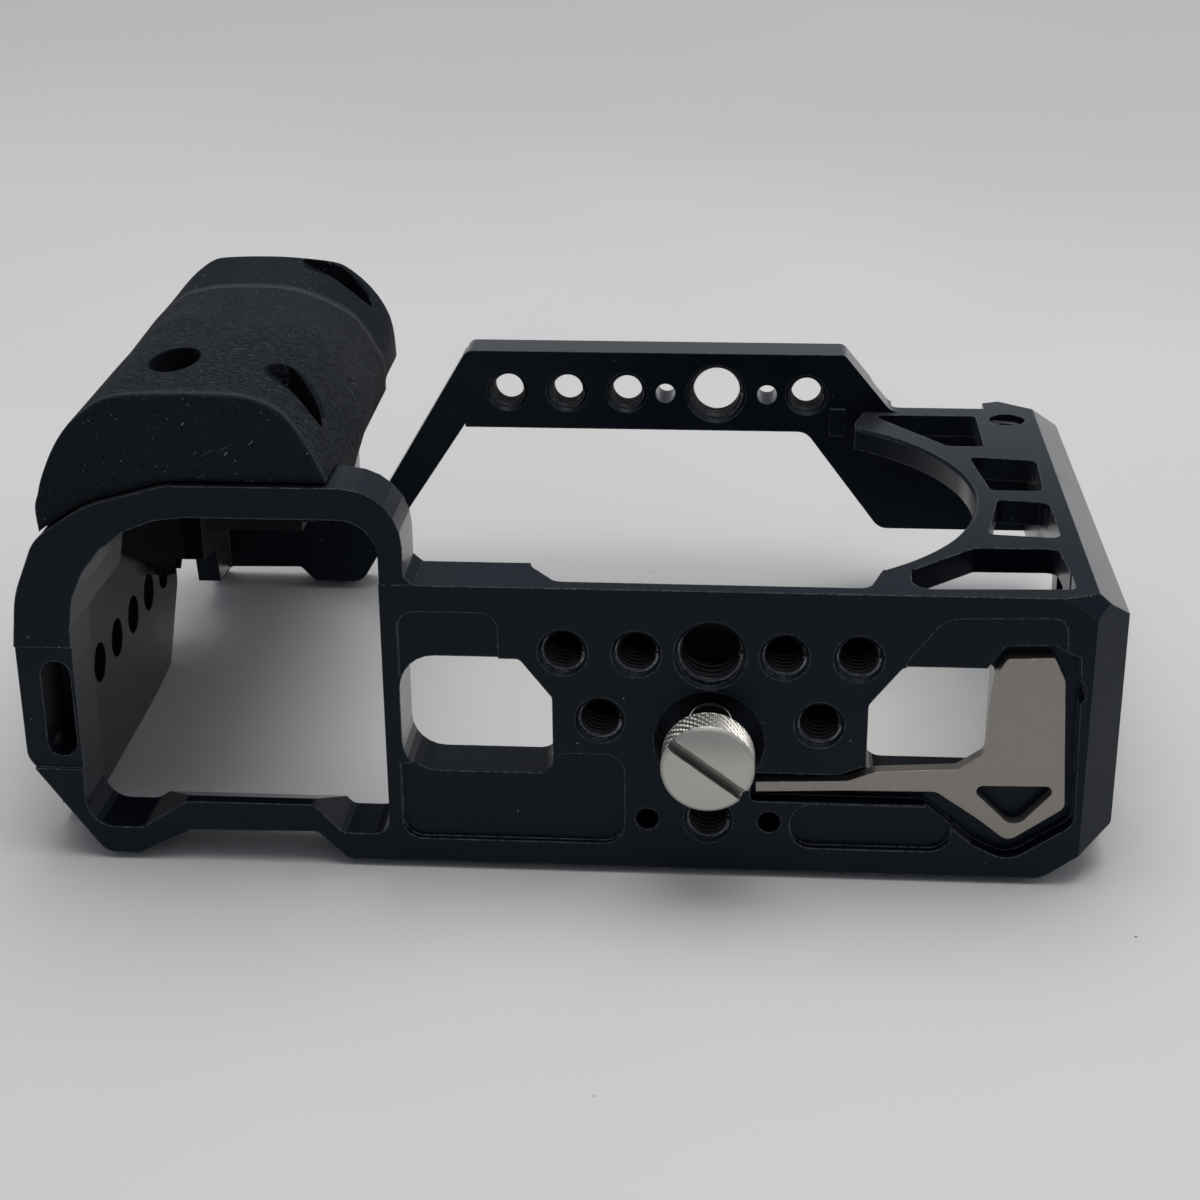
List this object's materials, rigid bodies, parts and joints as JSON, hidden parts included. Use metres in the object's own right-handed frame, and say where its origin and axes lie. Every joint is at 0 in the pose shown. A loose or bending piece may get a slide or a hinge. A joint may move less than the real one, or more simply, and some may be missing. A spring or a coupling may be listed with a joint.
{
  "type": "camera cage",
  "caption": "Open metal frame that clamps round a camera body, with threaded plates, a soft side grip, a captive camera screw and a flat key stowed in the base.",
  "frame": {"origin": "centre of the main hole row on the outer face of the bottom plate, at the mouth of the large thread", "axes": "+X from the grip to the cable side, +Y from the bottom plate to the top plate, +Z towards the lens"},
  "size_m": [0.159, 0.1005, 0.071],
  "materials": {
    "anodised": "bead-blasted, black anodised",
    "core": "matt",
    "grip": "soft, leather grain",
    "black_steel": "black oxide",
    "plated_steel": "nickel plated, knurled",
    "nylon": "matt",
    "key_steel": "satin",
    "magnet": "nickel plated",
    "pad": "matt"
  },
  "bodies": {
    "cage": {"bottom_plate": "anodised", "near_grip_loop": "anodised", "cable_side_plate": "anodised", "lens_web": "anodised", "top_plate": "anodised", "far_grip_wall": "anodised", "grip_side_plate": "anodised", "grip_core": "core", "grip_cover": "grip", "grip_screws": "black_steel", "key_magnets": "magnet", "camera_pads": "pad"},
    "washer": {"screw_washer": "nylon"},
    "screw": {"camera_screw": "plated_steel"},
    "key": {"screwdriver_key": "key_steel"}
  },
  "joints": [
    {"name": "screw_slide", "type": "slide", "parent": "cage", "child": "washer", "axis": [0, 1, 0], "range_m": [0, 0.0091]},
    {"name": "screw_turn", "type": "hinge", "parent": "washer", "child": "screw", "pos_m": [0, 0, -0.0134], "axis": [0, 1, 0], "continuous": true},
    {"name": "key_lift", "type": "slide", "parent": "cage", "child": "key", "axis": [0, -1, 0], "range_m": [0, 0.02]}
  ]
}
